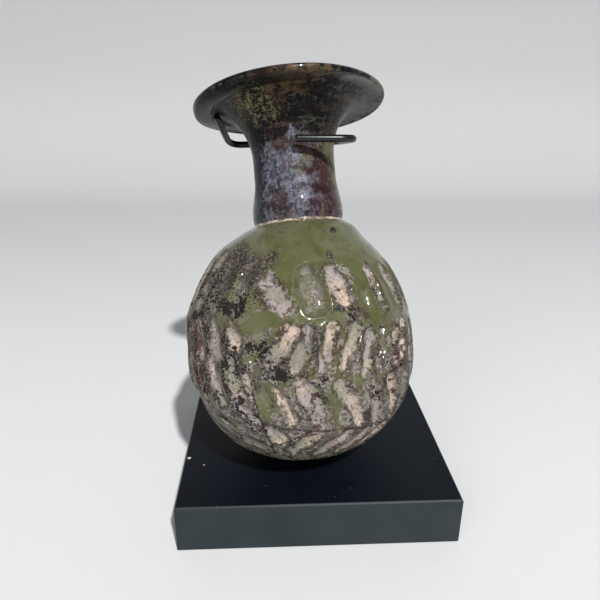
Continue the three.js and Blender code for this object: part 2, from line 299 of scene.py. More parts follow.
# Thin creases round the feet of the lower hollows, as (angle, height) corners
creases = [
    [(-27.5, -6.0), (-23.5, -10.7), (-24.0, -15.6), (-24.3, -23.0), (-12.0, -21.0), (0.8, -18.3),
     (10.3, -18.8), (24.0, -19.3), (33.0, -19.9)],
    [(-24.0, -15.6), (-12.0, -17.4), (0.8, -18.3)],
    [(33.0, -19.9), (44.0, -19.4), (58.0, -20.4)],
    [(-61.0, -12.6), (-47.9, -15.6), (-37.0, -19.6), (-28.4, -21.6), (-24.3, -23.0)],
]

# Patches of the weathering: middle angle and height, half width in degrees, half height, strength
patches = {
    "dark": [
        (-36, 24, 13, 5.5, 1.0), (-46, 19, 11, 6, 0.95), (-34, 14, 8, 4.5, 0.85), (-25, 22, 8, 6, 1.0),
        (-15, 24.5, 7, 3.6, 1.0), (-4.5, 12, 1.2, 1.2, 0.9), (5.6, 1.6, 1, 4.5, 0.9),
        (27, -2.4, 1.3, 3.4, 0.9), (21.5, 5.5, 1, 2, 0.5), (31, 30.6, 3.4, 0.9, 1.7),
        (33.6, -3.4, 1.4, 2.6, 0.9), (-28, 11.4, 6, 2.4, 0.85), (-60, 17, 11, 9, 0.75), (-38, 8, 3, 5, 0.9),
        (-20.2, 3.6, 4, 2.4, 0.8), (-8.5, -3.9, 4.5, 1.3, 0.9), (-1.2, -4.2, 4.5, 1.0, 0.8),
        (-22, -6, 3, 2.5, 0.7), (-38.6, -4, 1.5, 7, 0.8), (-52, -3, 3, 8, 0.6), (-48.5, 5, 1.6, 4, 0.9),
        (17.7, 10.6, 3.6, 0.9, 0.85), (26, 9.9, 3.6, 1.1, 0.9), (31.4, 8.3, 2.4, 1.2, 0.85),
        (42.6, 14, 1.5, 5, 0.95), (20.2, 23.6, 2.6, 1.1, 1.6), (37.8, 2, 1.3, 3.6, 0.7),
        (32.6, -3, 1.2, 3.6, 0.7), (47, 3, 1.6, 6, 0.6), (60, 2, 6, 7, 0.5), (-70, 2, 10, 14, 0.55),
        (70, 18, 6, 6, 0.6), (120, 6, 22, 12, 0.75), (165, 12, 26, 12, 0.8), (-130, 10, 26, 12, 0.75),
        (-100, -6, 16, 12, 0.6), (95, -8, 14, 8, 0.6), (-165, -10, 24, 8, 0.6), (8, -12, 3, 4, 0.4),
        (1.5, 2.0, 1.2, 4.5, 0.7), (8.4, 4.0, 1.0, 3.2, 0.6), (37, -14, 1.6, 5, 0.6),
    ],
    "clean": [
        (20, 29, 50, 6, 1.0), (10, 24.5, 26, 4, 1.0), (34, 17, 6, 8, 0.9), (-3, 16, 5, 5, 0.9),
        (13.5, 16, 3.5, 4.5, 0.8), (-24, 7.6, 7, 2.6, 0.95), (-8, 9.4, 8, 1.8, 0.9), (10, 8.8, 9, 1.3, 0.7),
        (53, 16, 8, 8, 0.8), (34, 8, 10, 1.5, 0.4), (19.5, 2, 2.2, 4.4, 0.9), (12.8, -11.2, 3.2, 6, 0.95),
        (-18, -10, 4.6, 3.6, 1.0), (40, 9.5, 14, 1.8, 0.5), (36, 5, 2.2, 3, 0.6), (-40, 9.4, 4, 1.8, 0.9),
        (-44, 0.6, 4, 1.0, 0.85), (24.5, -12, 2.6, 5, 0.75), (45, 5, 2, 5, 0.6), (-43, -16.8, 6, 1.4, 0.7),
        (85, 27, 40, 5, 0.8), (-90, 30, 30, 3.5, 0.6), (150, 29, 40, 4, 0.7), (64, 8, 3, 5, 0.5),
        (100, 12, 8, 4, 0.6), (-110, 24, 10, 5, 0.6), (16, -19.8, 8, 0.9, 0.6),
    ],
    "film": [
        (-48, -2, 26, 12, 0.9), (-42, -16, 30, 7, 0.9), (-60, 16, 18, 10, 0.8), (-18, -2, 12, 5, 0.5),
        (22.5, 16.5, 6, 5, 0.8), (14, -2, 28, 8, 0.28), (34, 10, 14, 4, 0.15), (-12, 12.5, 5, 3, 0.4),
        (0, -22, 40, 5.5, 0.9), (34, -18, 24, 6, 0.8), (-3, -13, 8, 5, 0.5), (62, -6, 18, 12, 0.6),
        (180, -4, 70, 22, 0.7), (-110, 0, 34, 18, 0.7), (110, -4, 30, 16, 0.6),
    ],
    "speckled": [
        (-31, 13, 11, 5, 1.0), (-20.5, 3.0, 5, 4, 1.0), (-34, -3, 8, 8, 0.95), (-9, -3.6, 5, 2, 0.9),
        (-15, -3, 8, 4, 0.7), (-52, -2, 10, 10, 0.6), (-18, -10.4, 3, 2, 0.8), (36, -12, 6, 6, 0.6),
        (12, -6.4, 12, 1.6, 0.5), (-30, -16, 16, 4, 0.45), (4, -12, 6, 5, 0.35), (46, 0, 8, 10, 0.4),
        (-55, 14, 14, 8, 0.7), (22, 9, 5, 1.6, 0.4), (150, 6, 40, 14, 0.7), (-120, 4, 30, 14, 0.7),
        (95, 2, 20, 14, 0.5), (-30, -22, 40, 4, 0.3), (8, 22, 4, 1, 0.2),
    ],
    "maroon": [
        (-18.2, 26.2, 2.2, 1.6, 0.9), (-11, 23.6, 3, 1.6, 0.8), (-17, -10, 2, 1.8, 1.0),
        (26, 9.8, 3, 1.4, 0.9), (3.0, -11.5, 1.8, 3, 0.7), (43, 13, 1.4, 4, 0.8), (38, 1, 1.6, 4, 0.8),
        (47.5, -2, 2, 5, 0.8),
        (33, -12, 2, 4, 0.7), (-60, 6, 6, 7, 0.8), (-62, -4, 5, 5, 0.7), (0.4, 5.2, 1.2, 1.6, 0.9),
        (8.4, -14, 3, 2.4, 0.5), (42, -8, 6, 2, 0.6), (58, -4, 5, 7, 0.6), (-55, 20, 6, 6, 0.6),
        (130, 0, 16, 10, 0.7), (-120, 2, 14, 8, 0.7), (178, -4, 18, 8, 0.7),
    ],
}


def smooth(low, high, value):  # 0 at low to 1 at high, either way round
    share = np.clip((value - low) / (high - low), 0.0, 1.0)
    return share * share * (3.0 - 2.0 * share)


def outline(height, inset=0.0):
    up = height > 0
    reach = np.where(up, bottle["globeRise"], bottle["globeDepth"]) - inset
    fullness = np.where(up, bottle["upperFullness"], bottle["lowerFullness"])
    rest = np.clip(1.0 - (np.abs(height) / reach) ** fullness, 0.0, 1.0)
    return (bottle["globeRadius"] - inset) * rest ** (1.0 / fullness)


def wrapped(angle):  # to -180 .. 180
    return (angle + 180.0) % 360.0 - 180.0


def lineDistance(angle, height, start, end):  # how far off a line over the glass, in millimetres
    scale = math.radians(float(outline(np.array((start[1] + end[1]) / 2))))
    dx, dy = (end[0] - start[0]) * scale, end[1] - start[1]
    px, py = wrapped(angle - start[0]) * scale, height - start[1]
    length = math.hypot(dx, dy)
    along = (px * dx + py * dy) / length
    across = (py * dx - px * dy) / length  # more than 0 to the right of a line that runs down
    share = np.clip(along / length, 0.0, 1.0)
    return np.hypot(across, along - share * length), share, across, along


def allHollows():
    hollows = list(frontHollows)
    for start, end, wide, deep, turn, count in sideRows:
        for i in range(count):
            wobble = math.sin(i * 2.4 + start[1])
            shift = turn * i + 0.8 * wobble
            fill = 0.7 + 0.3 * math.sin(i * 1.7 + end[1])
            pinks = [0.5 + 0.5 * math.sin(i * turns + wide) for turns in (2.9, 1.3)]
            rise = 0.5 * math.cos(i * 1.9)
            hollows.append(((start[0] + shift, start[1] + rise), (end[0] + shift, end[1] + rise * 0.6),
                            wide * (1 + 0.07 * wobble), deep, fill, *pinks))
    return hollows


def stampHollows(angle, height):
    fields = {name: np.zeros_like(height) for name in ("fill", "pink", "across", "along", "seed")}
    fields["rim"] = np.full(height.shape, 4.0)
    depth = np.zeros_like(height)
    for i, (start, end, wide, deep, full, pinkTop, pinkFoot) in enumerate(allHollows()):
        far, share, across, along = lineDistance(angle, height, start, end)
        uneven = 0.2 * np.sin(along * 1.1 + start[0]) + 0.15 * np.sin(along * 0.5 + across * 1.3 + end[0])
        edge = far - wide * (1.0 - 0.16 * (2 * share - 1) ** 2) - uneven
        here = {"rim": edge, "fill": full, "pink": pinkTop + (pinkFoot - pinkTop) * share,
                "across": across, "along": along, "seed": i * 3.7}
        nearer = edge < fields["rim"]
        for name, value in here.items():
            fields[name] = np.where(nearer, value, fields[name])
        bowl = deep * smooth(0.3, -1.6, edge) * (1.0 + 0.12 * np.clip(-edge, 0, 2))
        depth = np.maximum(depth, bowl)
    lip = bottle["lipRise"] * np.exp(-((fields["rim"] - bottle["lipAt"]) / bottle["lipSpread"]) ** 2)
    return depth - lip, fields


def creaseGap(angle, height):
    nearest = np.full(height.shape, 4.0)
    for line in creases:
        for start, end in zip(line, line[1:]):
            nearest = np.minimum(nearest, lineDistance(angle, height, start, end)[0])
    return nearest


def waves(angle, height, seed):  # gentle unevenness of blown glass, closed round the ring
    turn = np.radians(angle)
    return (np.sin(2 * turn + seed) * np.sin(height / 11.0 + seed * 2)
            + 0.6 * np.sin(3 * turn - height / 9.0 + seed * 3)
            + 0.35 * np.sin(7 * turn + height / 4.3 + seed))


def globeRadiusAt(angle, height):
    hollow = stampHollows(angle, height)[0]
    fade = smooth(-28.8, -26.4, height) * smooth(33.5, 30.0, height)
    crease = bottle["creaseDepth"] * np.exp(-(creaseGap(angle, height) / 0.3) ** 2)
    seamNear = np.minimum(np.abs(wrapped(angle - bottle["seam"])),
                          np.abs(wrapped(angle - bottle["seam"] - 180.0)))
    ridge = bottle["seamRise"] * np.exp(-(seamNear / 0.9) ** 2)
    wobble = bottle["unevenness"] * waves(angle, height, 1.3) - bottle["globeSink"]
    onLeft = smooth(-48.0, -74.0, angle) * smooth(-152.0, -118.0, angle)
    flat = onLeft * np.interp(height, *zip(*leftFlats))
    hollow = hollow * (1.0 - 0.4 * onLeft)
    return outline(height) + fade * (ridge - hollow - crease + wobble + flat) - 0.12 * (1.0 - fade)


def collarStrength(angle):
    return smooth(-0.1, 0.75, np.cos(np.radians(angle - bottle["collarMiddle"])))


def flareCurve(share, wall):
    turn = share * np.pi / 2
    width = bottle["brimRadius"] - bottle["waistRadius"]
    radius = bottle["brimRadius"] - (width + wall) * np.cos(turn)
    return radius, bottle["waist"] + (bottle["flareHeight"] + wall) * np.sin(turn)


def neckAndMouth():  # radius and height up the outer face, from the foot of the neck to the lip
    points = []
    foot, waist = bottle["neckFoot"], bottle["waist"]
    bulge, bulgeAt = bottle["neckBulge"], foot + bottle["neckBulgeRise"]
    for share in np.linspace(0.15, 1.0, 7):
        swell = math.sin(share * math.pi / 2) ** 0.6
        points.append((bottle["neckFootRadius"] + (bulge - bottle["neckFootRadius"]) * swell,
                       foot + (bulgeAt - foot) * share))
    for height in np.linspace(bulgeAt, waist, 22)[1:-1]:
        narrowing = float(smooth(bottle["taperFrom"], bottle["taperTo"], height))
        points.append((bulge + (bottle["waistRadius"] - bulge) * narrowing, height))
    for share in np.linspace(0.0, 1.0, 44):
        points.append(tuple(float(v) for v in flareCurve(share, 0.0)))
    brim, outer = bottle["brimRadius"], bottle["mouthRadius"] - bottle["lipRound"]
    for radius in np.linspace(brim, outer, 9)[1:]:
        droop = bottle["brimDroop"] * ((radius - brim) / (bottle["mouthRadius"] - brim)) ** 2
        points.append((radius, waist + bottle["flareHeight"] - droop))
    return points


def collarDrop(radius, angle):  # a sharp fold on its inner side, round towards the lip
    width = bottle["collarWidth"]
    across = (radius - (bottle["mouthRadius"] - width)) / width
    roll = np.sqrt(np.clip(1.0 - ((across - 0.45) / 0.55) ** 2, 0.0, 1.0))
    return bottle["collarDrop"] * roll * smooth(0.0, 0.04, across) * collarStrength(angle)


def around(angle, radius, height):
    turn = np.radians(angle)
    middle = bottle["neckShift"] * smooth(28.0, bottle["neckFoot"], height)
    return np.stack([middle + radius * np.sin(turn), -radius * np.cos(turn), height + 0 * turn], -1)


def lipWave(angle):
    return 0.28 * np.sin(np.radians(2 * angle + 40)) - 0.3


def bottleRings():
    outer = np.arange(bottle["columns"]) * 360.0 / bottle["columns"] - 180.0
    inner = np.arange(bottle["innerColumns"]) * 360.0 / bottle["innerColumns"] - 180.0
    rings = []
    for radius, rise in bottle["basePush"]:
        rings.append(around(outer, radius, rise - bottle["baseDrop"]))
    for height in np.concatenate([np.linspace(0.15 - bottle["baseDrop"], -27.6, 6),
                                  np.linspace(-27.2, 27.0, bottle["globeRows"]),
                                  np.linspace(27.6, bottle["neckFoot"] - 0.2, 14)]):
        heights = np.full(outer.shape, height)
        rings.append(around(outer, globeRadiusAt(outer, heights), heights))
    for radius, height in neckAndMouth():
        heights = np.full(outer.shape, height)
        settle = 0.1 * waves(outer, heights * 0.6, 2.2) * smooth(34.0, 40.0, heights)
        rise = lipWave(outer) * smooth(60.0, 69.0, heights)
        fold = collarDrop(radius + settle, outer)
        rings.append(around(outer, radius + settle - bottle["neckSink"], heights - fold + rise))
    lipLow = bottle["waist"] + bottle["flareHeight"] - bottle["brimDroop"]
    for turn in np.radians(np.linspace(-60, 80, 7)):
        radius = bottle["mouthRadius"] - bottle["lipRound"] * (1.0 - math.cos(turn))
        rise = bottle["lipWall"] / 2 * (1 + math.sin(turn))
        fold = collarDrop(radius, outer) * max(0.0, -math.sin(turn))
        settle = 0.1 * waves(outer, lipLow * 0.6, 2.2)
        rings.append(around(outer, radius + settle - bottle["neckSink"],
                            lipLow + rise - fold + lipWave(outer)))
    for share in np.linspace(1.0, 0.0, 22):
        wall = bottle["neckWall"] + (bottle["lipWall"] - bottle["neckWall"]) * share
        radius, height = flareCurve(share, wall)
        rings.append(around(inner, radius, height + lipWave(inner) * smooth(0.3, 0.9, share)))
    for height in (46.0, 40.0, bottle["throat"]):
        rings.append(around(inner, bottle["waistRadius"] - bottle["neckWall"], height))
    for height in bottle["insideHeights"]:
        rings.append(around(inner, float(outline(np.array(height), bottle["wall"])), height))
    return rings


def joinRings(rings, firstMiddle, lastMiddle):  # closed skin, each side of a coarser ring fans out
    points = np.concatenate([[firstMiddle], *rings, [lastMiddle]])
    starts = np.cumsum([1] + [len(ring) for ring in rings])
    first, last = len(rings[0]), len(rings[-1])
    faces = [(0, 1 + (i + 1) % first, 1 + i) for i in range(first)]
    for level in range(len(rings) - 1):
        low, high = len(rings[level]), len(rings[level + 1])
        a, b = int(starts[level]), int(starts[level + 1])
        if low == high:
            faces += [(a + i, a + (i + 1) % low, b + (i + 1) % low, b + i) for i in range(low)]
            continue
        step = low // high
        for i in range(high):
            here, there = b + i, b + (i + 1) % high
            for n in range(step):
                corner, following = a + i * step + n, a + (i * step + n + 1) % low
                faces.append((corner, following, here if n < step // 2 else there))
            faces.append((there, here, a + i * step + step // 2))
    end, start = len(points) - 1, int(starts[-2])
    faces += [(end, start + i, start + (i + 1) % last) for i in range(last)]
    return points, faces


def meshPiece(name, points, faces):
    mesh = bpy.data.meshes.new(name)
    mesh.from_pydata(np.asarray(points).tolist(), [], faces)
    mesh.polygons.foreach_set("use_smooth", [True] * len(mesh.polygons))
    mesh.update()
    piece = bpy.data.objects.new(name, mesh)
    scene.collection.objects.link(piece)
    return piece


def paint(piece, name, values):
    kind, field = ("FLOAT", "value") if np.ndim(values) == 1 else ("FLOAT_VECTOR", "vector")
    layer = piece.data.attributes.new(name, kind, "POINT")
    layer.data.foreach_set(field, np.asarray(values, dtype=np.float32).ravel())


def patchField(name, angle, height):
    total = np.zeros_like(height)
    for middle, level, wide, tall, strength in patches[name]:
        far = (wrapped(angle - middle) / wide) ** 2 + ((height - level) / tall) ** 2
        total = np.maximum(total, strength * np.exp(-0.7 * far ** 1.5))
    return total


def leanMatrix():  # back about X first, then left about Y
    back = Matrix.Rotation(-math.radians(bottle["leanBack"]), 3, "X")
    left = Matrix.Rotation(-math.radians(bottle["leanLeft"]), 3, "Y")
    return np.array(left @ back)


def makeBottle():
    rings = bottleRings()
    points, faces = joinRings(rings, (0.0, 0.0, bottle["baseMiddle"]), (0.0, 0.0, bottle["insideFloor"]))
    placed = points @ leanMatrix().T + np.array(bottle["place"])
    piece = meshPiece("bottle", placed * mm, faces)
    height = points[:, 2]
    inNeck = bottle["neckShift"] * smooth(28.0, bottle["neckFoot"], height)
    angle = np.degrees(np.arctan2(points[:, 0] - inNeck, -points[:, 1]))
    far = np.hypot(points[:, 0] - inNeck, points[:, 1])
    innerPoints = 1 + sum(len(ring) for ring in rings if len(ring) == bottle["innerColumns"])
    inside = np.arange(len(points)) >= len(points) - innerPoints
    fields = stampHollows(angle, height)[1]
    onGlobe = (height < bottle["neckFoot"]) & (height > -28.6) & ~inside
    shown = {
        "rim": np.where(onGlobe, fields["rim"], 4.0), "fill": fields["fill"], "pink": fields["pink"],
        "lie": np.stack([fields["across"], fields["along"], fields["seed"]], -1),
        "across": fields["across"], "crease": np.where(onGlobe, creaseGap(angle, height), 4.0),
        **{name: patchField(name, angle, height) for name in patches},
        "height": height, "angle": angle, "radius": far, "facing": np.cos(np.radians(angle)),
        "inside": inside.astype(float), "own": points,
    }
    for name, values in shown.items():
        paint(piece, name, values)
    piece.data.materials.append(glassMaterial())
    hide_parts("glass_bottle")
    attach(piece, "root")
    print("bottle made,", sum(len(face) - 2 for face in faces), "triangles")


# Colours of the weathering, as a picture shows them under even light
tones = {
    "olive": (88, 89, 58), "paleOlive": (98, 98, 72), "deepOlive": (74, 75, 46),
    "lilac": (168, 158, 158), "greenGrey": (142, 142, 130),
    "cream": (216, 198, 184), "peach": (216, 188, 168),
    "veil": (118, 111, 100), "darkVeil": (72, 65, 58), "brownVeil": (92, 80, 64), "blueVeil": (84, 88, 92),
    "patina": (24, 21, 26), "bluePatina": (30, 34, 46), "ash": (128, 122, 106), "black": (18, 15, 18),
    "maroon": (66, 40, 42), "violet": (98, 82, 90),
    "neckLilac": (112, 113, 126), "neckGrey": (68, 66, 72),
    "neckBlue": (22, 27, 34), "neckBrown": (68, 50, 44),
    "rimTeal": (9, 15, 19), "rimBrown": (48, 38, 33), "rimGrey": (78, 78, 66), "paleRim": (104, 104, 92),
    "ochre": (92, 77, 57), "crust": (134, 128, 92), "line": (214, 196, 172),
}


def tone(name):
    return srgb(*tones[name])


def bodyColour(s, grain, lines, dots):
    rim, fill, pink, across = (s.attribute(name) for name in ("rim", "fill", "pink", "across"))
    dark, clean, maroon = s.attribute("dark"), s.attribute("clean"), s.attribute("maroon")
    cover, speckled, crease = s.attribute("film"), s.attribute("speckled"), s.attribute("crease")
    wide, blotch, mid, fine = grain
    olive = s.mix(wide.step(0.35, 0.65), tone("olive"), tone("paleOlive"))
    olive = s.mix(blotch.step(0.48, 0.72) * 0.6, olive, tone("deepOlive"))
    # film in several greys and browns
    filmed = (cover + 0.3 + (blotch - 0.5) * 1.7 + (mid - 0.5) * 1.3 - clean * 0.9).step(0.3, 0.8)
    film = s.mix((mid * 0.6 + lines * 0.4).step(0.42, 0.58), tone("darkVeil"), tone("veil"))
    warm = s.mix(mid.step(0.4, 0.6), tone("brownVeil"), tone("greenGrey"))
    film = s.mix(wide.step(0.5, 0.62), film, warm)
    film = s.mix((blotch * 0.6 + mid * 0.4).step(0.5, 0.6) * 0.85, film, tone("lilac"))
    film = s.mix((wide * 0.4 + blotch * 0.6).step(0.46, 0.36) * 0.7, film, tone("blueVeil"))
    colour = s.mix(filmed * 0.88, olive, film)
    # soft deposit in each hollow, streaked along it, with painted shade: darker towards its rim and on its
    # right side, the hollow's shadow side
    ragged = rim + (blotch - 0.5) * 2.0 + (mid - 0.5) * 2.0 + (lines - 0.5) * 1.2
    pinker = (pink + (mid - 0.5) * 1.1 + (lines - 0.5) * 1.3).step(0.15, 0.9)
    cool = s.mix(wide.step(0.42, 0.6), tone("lilac"), tone("greenGrey"))
    deposit = s.mix(pinker, cool, s.mix(blotch.step(0.4, 0.6), tone("cream"), tone("peach")))
    deposit = s.mix((lines * 0.65 + mid * 0.35).step(0.44, 0.7) * 0.8, deposit, tone("veil"))
    # painted shade: the deposit turns violet or brown towards the hollow's rim and on its right side
    paintedShade = (ragged * 0.35 + across * 0.22 + (blotch - 0.5) * 1.6 + 0.1).step(-0.1, 0.6)
    deposit = s.mix(paintedShade * 0.6, deposit, s.mix(wide.step(0.45, 0.6), tone("violet"), tone("brownVeil")))
    deposit = s.mix((mid * 0.5 + fine * 0.5).step(0.5, 0.68) * 0.5, deposit, tone("darkVeil"))
    filled = (ragged + 0.5).step(0.8, -0.9)
    filled = filled * (fill * 1.3 + (blotch - 0.5) * 1.1 + (mid - 0.5)).step(0.1, 0.7)
    colour = s.mix(filled * 0.95, colour, deposit)
    edged = abs(ragged - 0.2).step(0.95, 0.2) * fill.step(0.2, 0.6)
    edged = edged * (wide + (mid - 0.5) * 0.9).step(0.37, 0.52) * (1.0 - clean * 0.5)
    colour = s.mix(edged * 0.85, colour, s.mix(blotch.step(0.4, 0.6), tone("maroon"), tone("patina")))
    # maroon stains, then the near-black patina
    stained = (maroon + (blotch - 0.5) * 1.6 + (mid - 0.5) * 1.6 - clean * 0.5).step(0.36, 0.62)
    colour = s.mix(stained * 0.85, colour, tone("maroon"))
    crusted = (dark * 1.14 + (blotch - 0.5) * 1.7 + (mid - 0.5) * 1.7 + (fine - 0.5) * 0.9
               - speckled * 0.25 - clean * 0.5).step(0.36, 0.66)
    patina = s.mix(wide.step(0.45, 0.6), tone("patina"), tone("bluePatina"))
    patina = s.mix((blotch * 0.5 + mid * 0.5).step(0.5, 0.6) * 0.7, patina, tone("brownVeil"))
    patina = s.mix((mid * 0.4 + fine * 0.6).step(0.53, 0.64) * 0.85, patina, tone("ash"))
    patina = s.mix((mid * 0.4 + fine * 0.6).step(0.46, 0.38) * 0.4, patina, tone("violet"))
    colour = s.mix(crusted * 0.92, colour, patina)
    # pepper of black grains over pale ash
    ashen = (speckled + (blotch - 0.5) * 1.4 + (mid - 0.5)).step(0.45, 0.8) * dark.step(0.15, 0.5)
    colour = s.mix(ashen * (1.0 - crusted * 0.6) * 0.6, colour, tone("ash"))
    density = speckled * 1.1 + filmed * 0.2 + crusted * 0.1 + (blotch - 0.5) * 1.7
    density = density - clean * 1.3 - filled * 0.25
    peppered = (density * 0.5 - dots).step(-0.05, 0.1)
    colour = s.mix(peppered * 0.88, colour, tone("black"))
    creased = (crease + (mid - 0.5) * 0.5).step(0.34, 0.08)
    colour = s.mix(creased * 0.8, colour, tone("patina"))
    return colour, filled, crusted, filmed, creased


def neckColour(s, grain, streaks, dots):
    height, angle = s.attribute("height"), s.attribute("angle")
    ahead = s.attribute("facing").step(-0.97, -0.7)  # the front's stains end before the back
    wide, blotch, mid, fine = grain
    turned = angle + (blotch - 0.5) * 50.0 + (mid - 0.5) * 40.0
    raised = height + (blotch - 0.5) * 9.0 + (mid - 0.5) * 5.0
    colour = s.mix((streaks * 0.6 + mid * 0.4).step(0.4, 0.56), tone("neckGrey"), tone("neckLilac"))
    browned = (streaks * 0.5 + wide * 0.5 + abs(angle + 26.0).step(18.0, 4.0) * 0.08).step(0.5, 0.6)
    colour = s.mix(browned * 0.85, colour, tone("neckBrown"))
    reddened = (turned - 14.0).step(-8.0, 14.0) * (streaks + 0.35).step(0.4, 0.6)
    reds = s.mix(streaks.step(0.58, 0.66), tone("maroon"), tone("ochre"))
    colour = s.mix(reddened * ahead * 0.92, colour, reds)
    greened = (turned + (height - 46.0) * 2.2).step(48.0, 60.0)
    greened = greened.most(abs(turned - 9.0).step(8.0, 3.0) * abs(raised - 48.5).step(3.2, 1.2) * 0.8)
    colour = s.mix(greened * ahead * 0.85, colour, tone("paleOlive"))
    blued = (angle + (blotch - 0.5) * 30.0 + (mid - 0.5) * 20.0).step(-38.0, -54.0)
    colour = s.mix(blued * ahead * 0.9, colour, tone("neckBlue"))
    flecked = (mid * 0.4 + fine * 0.6).step(0.52, 0.6) * raised.step(44.0, 38.0)
    colour = s.mix(flecked * 0.5, colour, tone("neckLilac"))
    peppered = ((blotch - 0.5) * 1.6 + 0.4 - dots).step(0.0, 0.12) + fine.step(0.56, 0.64) * 0.4
    return s.mix(peppered.least(1.0) * 0.6, colour, tone("black"))


def mouthColour(s, grain, radial, dots):
    height, angle, radius = s.attribute("height"), s.attribute("angle"), s.attribute("radius")
    wide, blotch, mid, fine = grain
    turned = angle + (wide - 0.5) * 50.0 + (blotch - 0.5) * 40.0
    raised = height + (wide - 0.5) * 5.0 + (blotch - 0.5) * 7.0 + (mid - 0.5) * 4.0
    colour = s.mix((blotch * 0.6 + mid * 0.4).step(0.45, 0.58), tone("rimTeal"), tone("rimBrown"))
    greyed = (radial * 0.7 + mid * 0.3 + (angle - 30.0).step(-30.0, 60.0) * 0.12).step(0.52, 0.62)
    colour = s.mix(greyed * 0.75, colour, tone("rimGrey"))
    colour = s.mix((radial * 0.6 + wide * 0.4).step(0.53, 0.62) * 0.65, colour, tone("maroon"))
    warmed = abs(turned + 6.0).step(22.0, 8.0) * abs(raised - 67.0).step(2.8, 1.2)
    warmed = warmed.most(abs(turned + 56.0).step(10.0, 4.0) * abs(raised - 65.0).step(2.4, 1.0))
    colour = s.mix(warmed * (0.5 + mid * 0.6), colour, tone("ochre"))
    # yellow-green crust under the left of the flare
    crusted = abs(turned + 36.0).step(26.0, 12.0) * abs(raised - 64.0).step(4.6, 2.0)
    grains = (mid * 0.5 + fine * 0.5).step(0.47, 0.6) * 0.85
    colour = s.mix(crusted * grains, colour, tone("crust"))
    # smooth dark collar on the left front, a paler right edge that is grey weathering with a painted sheen,
    # a painted reflection on the far left of the rim, and painted shade in the hollow under the flare
    collar = radius.step(21.8, 22.4) * abs(angle + 60.0).step(80.0, 46.0) * height.step(68.6, 67.9)
    colour = s.mix(collar * (1.0 - mid * 0.3), colour, tone("rimTeal"))
    ahead = s.attribute("facing").step(-0.97, -0.7)
    # partly painted sheen: the right edge of the rim is paler, grey weathering with a painted sheen over it
    edge = radius.step(24.0, 26.0) * (turned - 20.0).step(0.0, 50.0) * ahead
    colour = s.mix(edge * 0.85 * radial.step(0.3, 0.5), colour, tone("paleRim"))
    # painted reflection: a pale patch on the far left of the rim
    farLeftPaintedReflection = radius.step(24.6, 26.4) * abs(angle + 116.0).step(28.0, 14.0)
    colour = s.mix(farLeftPaintedReflection * 0.8, colour, tone("paleRim"))
    # painted shade: a dark band in the hollow under the flare, darkest on the left front
    paintedShadeUnderFlare = abs(raised - 58.6).step(4.2, 0.8) * (0.35 + abs(angle + 46.0).step(30.0, 8.0) * 0.5)
    colour = s.mix(paintedShadeUnderFlare, colour, tone("black"))
    peppered = ((blotch - 0.5) * 1.8 + 0.42 - dots).step(0.0, 0.12) * (1.0 - collar * 0.8)
    return s.mix(peppered * 0.7, colour, tone("black"))


def glassMaterial():
    material, s = newMaterial("weathered glass")
    place, own = s.objectPlace(), s.attribute("own", "Vector")
    height, angle, inside = s.attribute("height"), s.attribute("angle"), s.attribute("inside")
    wide = s.noise(place, 110.0, 3.0, 0.55, 1.5)
    blotch = s.noise(place, 330.0, 4.0, 0.6, 1.9)
    mid = s.noise(place, 1000.0, 4.0, 0.65, 1.9)
    fine = s.noise(place, 2600.0, 3.0, 0.6, 1.5)
    grain = (wide, blotch, mid, fine)
    streaks = s.noise(s.stretch(own, (1.0, 1.0, 0.22)), 0.55, 4.0, 0.6)
    radial = s.noise(s.stretch(own, (0.35, 0.35, 1.6)), 0.6, 4.0, 0.62, 1.3)
    lines = s.noise(s.stretch(s.attribute("lie", "Vector"), (1.0, 0.26, 1.0)), 1.0, 4.0, 0.65, 1.7)
    dots = s.cells(place, 1500.0).least(s.cells(place, 850.0) + 0.12) + (fine - 0.5) * 0.5
    body, filled, crusted, filmed, creased = bodyColour(s, grain, lines, dots)
    neck = neckColour(s, grain, streaks, dots)
    mouth = mouthColour(s, grain, radial, dots)
    upward = height + (blotch - 0.5) * 8.0 + (mid - 0.5) * 6.0 - abs(angle - 4.0).step(26.0, 6.0) * 2.4
    upper = s.mix(upward.step(55.5, 58.0), neck, mouth)
    colour = s.mix(height.step(34.6, 35.1), body, upper)
    onLine = abs(height - 34.75 + (mid - 0.5) * 0.8).step(0.5, 0.2)
    colour = s.mix(onLine * 0.9, colour, s.mix((blotch + mid).step(0.92, 1.04), tone("veil"), tone("line")))
    lining = s.mix((blotch * 0.5 + mid * 0.5).step(0.4, 0.62), tone("rimBrown"), tone("darkVeil"))
    lining = s.mix((mid * 0.4 + fine * 0.6).step(0.54, 0.66) * 0.6, lining, tone("ochre"))
    colour = s.mix(inside * 0.9, colour, lining)
    covering = (filled + crusted + filmed * 0.7).least(1.0) * height.step(35.5, 34.5)
    necked = height.step(35.0, 38.0) * height.step(66.0, 60.0)
    glazed = abs(height - 39.5).step(4.5, 1.5)
    dulled = necked * (1.0 - glazed) * (0.08 + (blotch - 0.4) * 0.3)
    rough = 0.1 + covering * 0.4 + mid * 0.12 + inside * 0.3 + dulled
    bare = height.step(37.0, 35.0) + glazed * 0.8 + height.step(68.7, 69.2)
    lift = covering * 0.5 + (mid - 0.5) * (0.3 + covering * 0.9) + (fine - 0.5) * (0.1 + covering * 0.8)
    lift = lift - creased * 1.2
    coat = (1.0 - covering) * (1.0 - mid * 0.4) * bare.least(1.0) * 0.6
    surface = s.surface(Base_Color=colour, Roughness=rough, IOR=1.5, Normal=s.bump(lift, 0.6, 0.0004),
                        Specular_IOR_Level=0.09, Coat_Roughness=0.05, Coat_Weight=coat)
    finishMaterial(s, surface)
    return material


makeBottle()

